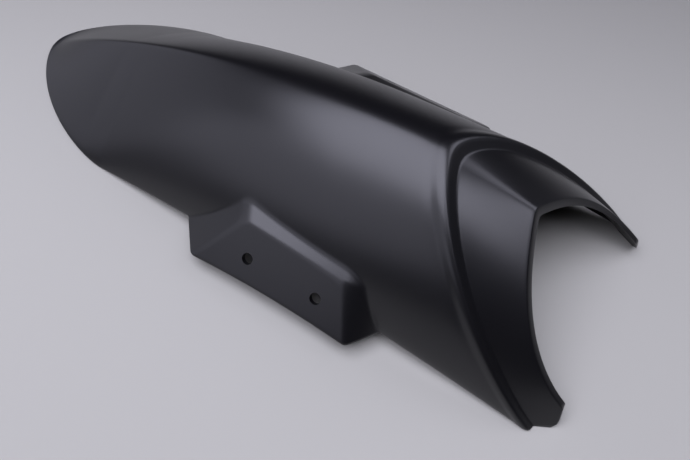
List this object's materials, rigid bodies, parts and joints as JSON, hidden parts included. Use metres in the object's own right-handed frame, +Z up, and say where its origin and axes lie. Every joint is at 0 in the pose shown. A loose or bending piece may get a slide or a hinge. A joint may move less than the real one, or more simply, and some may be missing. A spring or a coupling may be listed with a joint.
{
  "type": "front fender extension",
  "caption": "Moulded saddle-shaped fender extension with a long tapered tongue, slanted bolt bosses on both sides and a stepped, cut-back end flange.",
  "frame": {"origin": "on the surface that the rim rests on, midway along and across the part", "axes": "+X along the part towards the end flange, +Y across it, +Z up"},
  "size_m": [0.3716, 0.1634, 0.0804],
  "materials": {
    "fender_extension": "satin-matt charcoal black, very fine moulded grain"
  },
  "bodies": {
    "root": {"fender_extension": "fender_extension"}
  },
  "joints": []
}
